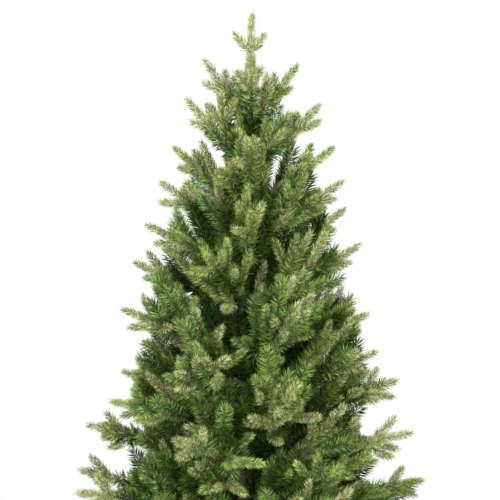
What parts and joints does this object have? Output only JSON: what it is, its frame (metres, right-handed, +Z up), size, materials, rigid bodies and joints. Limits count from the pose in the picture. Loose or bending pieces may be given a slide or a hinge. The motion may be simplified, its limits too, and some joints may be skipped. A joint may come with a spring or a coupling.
{
  "type": "artificial spruce tree",
  "caption": "Artificial spruce tree: a steel pole in a plain floor stand, with tiers of boughs carrying sprays of plastic needles in a full cone-shaped crown.",
  "frame": {"origin": "on the floor, on the pole's axis at the middle of the stand", "axes": "+Z up along the pole; +X to the right of the front view; the front faces -Y"},
  "size_m": [1.28, 1.3052, 2.1],
  "materials": {
    "pole": "satin green paint on steel tube",
    "stand": "satin dark green paint on pressed steel",
    "bough": "green and brown tape wound on steel wire",
    "needles": "matt olive green plastic film and moulded needles"
  },
  "bodies": {
    "root": {"trunk_pole": "pole", "stand_hub": "stand", "stand_leg_1": "stand", "stand_leg_2": "stand", "stand_leg_3": "stand", "stand_leg_4": "stand", "bough_12_1": "bough", "bough_12_2": "bough", "bough_12_3": "bough", "bough_12_4": "bough", "bough_12_5": "bough", "foliage_leader": "needles", "foliage_01_1": "needles", "foliage_01_2": "needles", "foliage_01_3": "needles", "foliage_01_4": "needles", "foliage_02_1": "needles", "foliage_02_2": "needles", "foliage_02_3": "needles", "foliage_03_1": "needles", "foliage_03_2": "needles", "foliage_03_3": "needles", "foliage_04_1": "needles", "foliage_04_2": "needles", "foliage_04_3": "needles", "foliage_05_1": "needles", "foliage_05_2": "needles", "foliage_05_3": "needles", "foliage_05_4": "needles", "foliage_06_1": "needles", "foliage_06_2": "needles", "foliage_06_3": "needles", "foliage_06_4": "needles", "foliage_07_1": "needles", "foliage_07_2": "needles", "foliage_07_3": "needles", "foliage_07_4": "needles", "foliage_08_1": "needles", "foliage_08_2": "needles", "foliage_08_3": "needles", "foliage_08_4": "needles", "foliage_09_1": "needles", "foliage_09_2": "needles", "foliage_09_3": "needles", "foliage_09_4": "needles", "foliage_10_1": "needles", "foliage_10_2": "needles", "foliage_10_3": "needles", "foliage_10_4": "needles", "foliage_10_5": "needles", "foliage_11_1": "needles", "foliage_11_2": "needles", "foliage_11_3": "needles", "foliage_11_4": "needles", "foliage_11_5": "needles", "foliage_12_1": "needles", "foliage_12_2": "needles", "foliage_12_3": "needles", "foliage_12_4": "needles", "foliage_12_5": "needles"}
  },
  "joints": []
}
